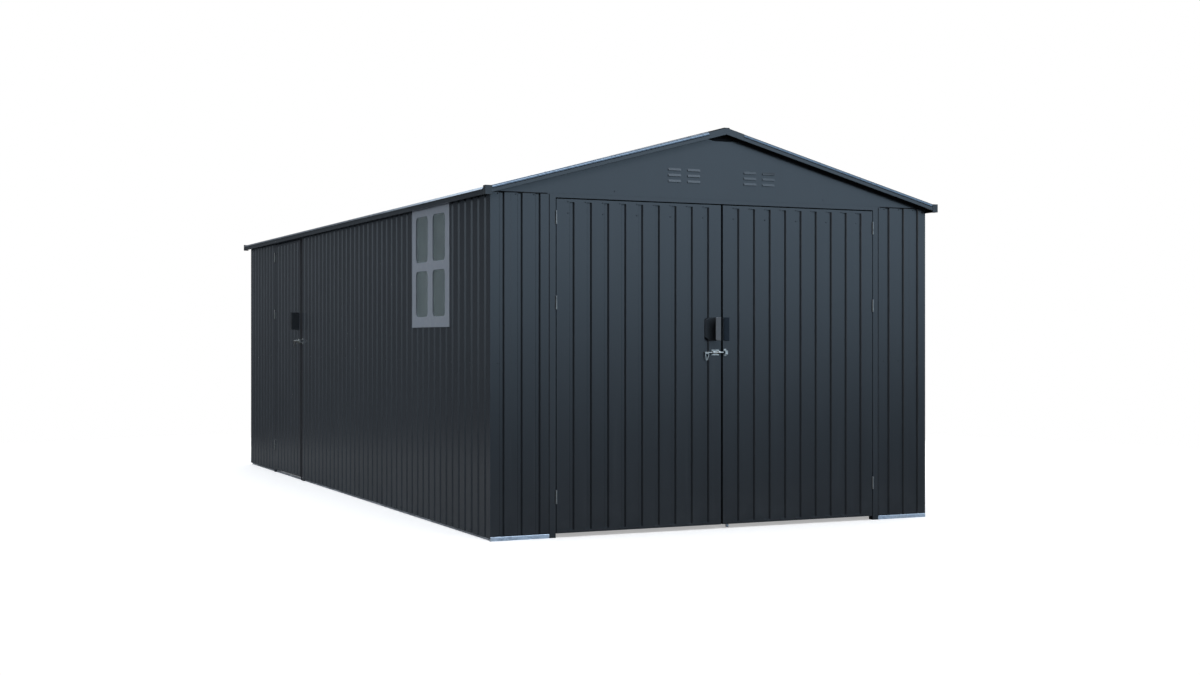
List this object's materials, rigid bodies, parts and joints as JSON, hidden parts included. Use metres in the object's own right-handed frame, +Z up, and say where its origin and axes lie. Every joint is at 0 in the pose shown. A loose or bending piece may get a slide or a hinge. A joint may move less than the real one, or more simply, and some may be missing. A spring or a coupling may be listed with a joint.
{
  "type": "metal storage shed",
  "caption": "Ribbed steel garden shed in dark blue-grey with a gable roof, double front doors with a bolt latch, and a side door and window in the left wall",
  "frame": {"origin": "centre of the footprint, on the ground", "axes": "+Z up, double doors face -Y, side door and window in the -X wall"},
  "size_m": [3.082, 6.224, 2.3982],
  "materials": {
    "sheet_paint": "satin blue-grey paint on ribbed steel sheet",
    "trim_paint": "satin blue-grey paint on folded steel trim",
    "galvanised_steel": "bare galvanised steel, dull",
    "bright_steel": "zinc-plated steel, satin",
    "black_plastic": "moulded black plastic",
    "cap_plastic": "moulded blue-grey plastic",
    "window_plastic": "moulded grey plastic",
    "window_clear": "slightly cloudy clear plastic sheet"
  },
  "bodies": {
    "shed": {"back_gable_panel": "sheet_paint", "back_rake_trims": "trim_paint", "back_wall_panel_1": "sheet_paint", "back_wall_panel_2": "sheet_paint", "base_rails": "galvanised_steel", "corner_posts": "galvanised_steel", "eave_end_caps": "cap_plastic", "eave_trims": "trim_paint", "front_door_header": "trim_paint", "front_door_jambs": "trim_paint", "front_gable_panel": "sheet_paint", "front_jamb_hinges": "bright_steel", "front_rake_trims": "trim_paint", "front_wall_panel_left": "sheet_paint", "front_wall_panel_right": "sheet_paint", "left_wall_panel_front": "sheet_paint", "left_wall_panel_middle_1": "sheet_paint", "left_wall_panel_middle_2": "sheet_paint", "left_wall_panel_rear": "sheet_paint", "left_wall_panel_under_window": "sheet_paint", "ridge_beam": "galvanised_steel", "ridge_cap": "trim_paint", "right_wall_panel_1": "sheet_paint", "right_wall_panel_2": "sheet_paint", "right_wall_panel_3": "sheet_paint", "roof_king_post": "galvanised_steel", "roof_purlins": "galvanised_steel", "roof_rafters": "galvanised_steel", "roof_sheet_left": "sheet_paint", "roof_sheet_right": "sheet_paint", "roof_tie_beam": "galvanised_steel", "side_door_header": "trim_paint", "side_door_jambs": "trim_paint", "side_jamb_hinges": "bright_steel", "side_latch_keeper": "bright_steel", "wall_mid_rails": "galvanised_steel", "wall_top_rails": "galvanised_steel", "window_frame": "window_plastic", "window_panes": "window_clear"},
    "left_door": {"left_door_skin": "sheet_paint", "left_door_frame": "trim_paint", "left_door_hinges": "bright_steel", "left_door_handle": "black_plastic", "latch_guide": "bright_steel"},
    "right_door": {"right_door_skin": "sheet_paint", "right_door_frame": "trim_paint", "right_door_hinges": "bright_steel", "right_door_strike": "black_plastic", "latch_keeper": "bright_steel", "drop_bolt_guides": "galvanised_steel"},
    "side_door": {"side_door_skin": "sheet_paint", "side_door_frame": "trim_paint", "side_door_hinges": "bright_steel", "side_door_handle": "black_plastic", "side_latch_guide": "bright_steel"},
    "latch_bolt": {"latch_bolt": "bright_steel", "latch_loop": "bright_steel"},
    "drop_bolt": {"drop_bolt": "galvanised_steel"},
    "side_latch_bolt": {"side_latch_bolt": "bright_steel", "side_latch_loop": "bright_steel"}
  },
  "joints": [
    {"name": "left_door_hinge", "type": "hinge", "parent": "shed", "child": "left_door", "pos_m": [-1.0825, -3.055, 1], "axis": [0, 0, -1], "range_deg": [0, 150]},
    {"name": "right_door_hinge", "type": "hinge", "parent": "shed", "child": "right_door", "pos_m": [1.0825, -3.055, 1], "axis": [0, 0, 1], "range_deg": [0, 150]},
    {"name": "side_door_hinge", "type": "hinge", "parent": "shed", "child": "side_door", "pos_m": [-1.49, 2.1005, 1], "axis": [0, 0, -1], "range_deg": [0, 150]},
    {"name": "latch_slide", "type": "slide", "parent": "left_door", "child": "latch_bolt", "axis": [1, 0, 0], "range_m": [0, 0.02]},
    {"name": "drop_bolt_slide", "type": "slide", "parent": "right_door", "child": "drop_bolt", "axis": [0, 0, 1], "range_m": [0, 0.06]},
    {"name": "side_latch_slide", "type": "slide", "parent": "side_door", "child": "side_latch_bolt", "axis": [0, -1, 0], "range_m": [0, 0.051]}
  ]
}
